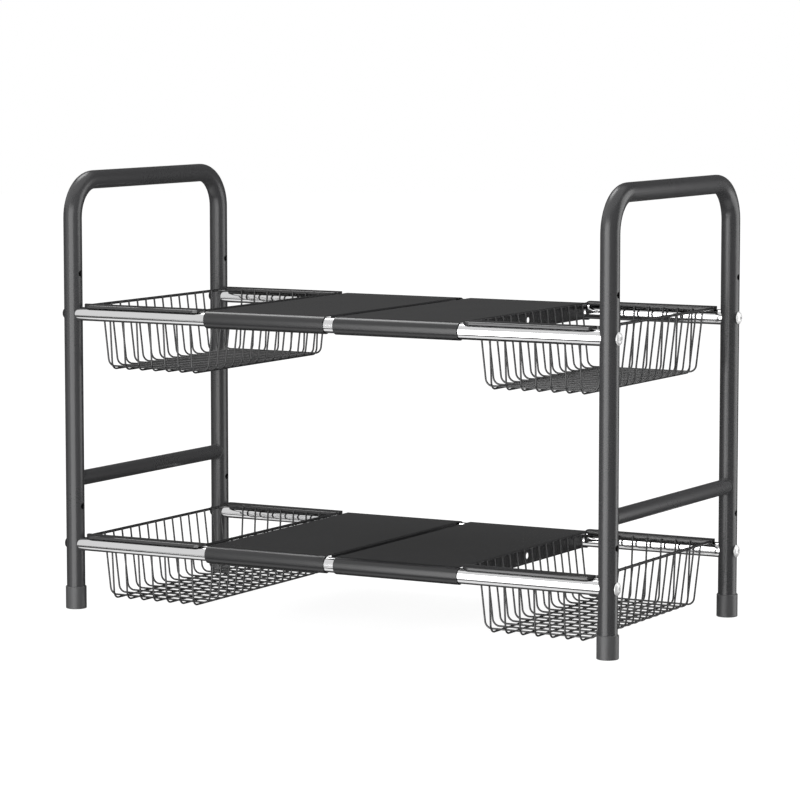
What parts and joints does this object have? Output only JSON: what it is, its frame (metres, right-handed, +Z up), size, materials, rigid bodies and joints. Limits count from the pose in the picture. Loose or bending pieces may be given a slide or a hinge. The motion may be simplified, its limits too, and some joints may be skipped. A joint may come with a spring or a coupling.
{
  "type": "under sink organizer",
  "caption": "Free-standing tiered under sink organizer: bent tube end hoops, telescoping chrome rods, sheet panels that slide on them and lift-off wire baskets.",
  "frame": {"origin": "on the floor, midway between the four legs", "axes": "+X to the right along the rods, towards the frame that holds the outer rods; +Y to the back; +Z up"},
  "size_m": [0.5316, 0.2536, 0.3792],
  "materials": {
    "frame_coat": "charcoal grey powder coat, semi-gloss, fine orange peel",
    "panel_coat": "charcoal grey powder coat on sheet steel, satin",
    "channel_coat": "charcoal grey powder coat on crowned strip, semi-gloss",
    "wire_coat": "near-black powder coat on wire, semi-gloss",
    "rod_chrome": "bright chrome plate on thin steel tube",
    "bolt_chrome": "bright zinc or nickel plate",
    "foot_plastic": "moulded grey plastic, satin",
    "plug_plastic": "moulded black plastic",
    "insert_steel": "turned steel"
  },
  "bodies": {
    "left_frame": {"left_side_hoop": "frame_coat", "left_crossbar": "frame_coat", "front_left_foot": "foot_plastic", "back_left_foot": "foot_plastic", "lower_front_inner_rod": "rod_chrome", "lower_back_inner_rod": "rod_chrome", "upper_front_inner_rod": "rod_chrome", "upper_back_inner_rod": "rod_chrome", "inner_rod_glide_plugs": "plug_plastic", "left_rod_inserts": "insert_steel", "left_rod_bolts": "frame_coat"},
    "right_frame": {"right_side_hoop": "frame_coat", "right_crossbar": "frame_coat", "front_right_foot": "foot_plastic", "back_right_foot": "foot_plastic", "lower_front_outer_rod": "rod_chrome", "lower_back_outer_rod": "rod_chrome", "upper_front_outer_rod": "rod_chrome", "upper_back_outer_rod": "rod_chrome", "right_rod_inserts": "insert_steel", "right_rod_bolts": "bolt_chrome"},
    "lower_left_shelf": {"lower_left_panel": "panel_coat"},
    "lower_left_basket": {"lower_left_basket_channels": "channel_coat", "lower_left_basket_rims": "wire_coat", "lower_left_basket_cross_wires": "wire_coat", "lower_left_basket_long_wires": "wire_coat"},
    "lower_right_shelf": {"lower_right_panel": "panel_coat"},
    "lower_right_basket": {"lower_right_basket_channels": "channel_coat", "lower_right_basket_rims": "wire_coat", "lower_right_basket_cross_wires": "wire_coat", "lower_right_basket_long_wires": "wire_coat"},
    "upper_left_shelf": {"upper_left_panel": "panel_coat"},
    "upper_left_basket": {"upper_left_basket_channels": "channel_coat", "upper_left_basket_rims": "wire_coat", "upper_left_basket_cross_wires": "wire_coat", "upper_left_basket_long_wires": "wire_coat"},
    "upper_right_shelf": {"upper_right_panel": "panel_coat"},
    "upper_right_basket": {"upper_right_basket_channels": "channel_coat", "upper_right_basket_rims": "wire_coat", "upper_right_basket_cross_wires": "wire_coat", "upper_right_basket_long_wires": "wire_coat"}
  },
  "joints": [
    {"name": "width_slide", "type": "slide", "parent": "left_frame", "child": "right_frame", "axis": [1, 0, 0], "range_m": [-0.005, 0.125]},
    {"name": "lower_left_shelf_slide", "type": "slide", "parent": "left_frame", "child": "lower_left_shelf", "axis": [1, 0, 0], "range_m": [-0.0043, 0.002]},
    {"name": "lower_left_basket_lift", "type": "slide", "parent": "left_frame", "child": "lower_left_basket", "axis": [0, 0, 1], "range_m": [0, 0.065]},
    {"name": "lower_right_shelf_slide", "type": "slide", "parent": "right_frame", "child": "lower_right_shelf", "axis": [1, 0, 0], "range_m": [-0.002, 0.0015]},
    {"name": "lower_right_basket_lift", "type": "slide", "parent": "right_frame", "child": "lower_right_basket", "axis": [0, 0, 1], "range_m": [0, 0.065]},
    {"name": "upper_left_shelf_slide", "type": "slide", "parent": "left_frame", "child": "upper_left_shelf", "axis": [1, 0, 0], "range_m": [-0.0043, 0.002]},
    {"name": "upper_left_basket_lift", "type": "slide", "parent": "left_frame", "child": "upper_left_basket", "axis": [0, 0, 1], "range_m": [0, 0.065]},
    {"name": "upper_right_shelf_slide", "type": "slide", "parent": "right_frame", "child": "upper_right_shelf", "axis": [1, 0, 0], "range_m": [-0.002, 0.0015]},
    {"name": "upper_right_basket_lift", "type": "slide", "parent": "right_frame", "child": "upper_right_basket", "axis": [0, 0, 1], "range_m": [0, 0.065]}
  ]
}
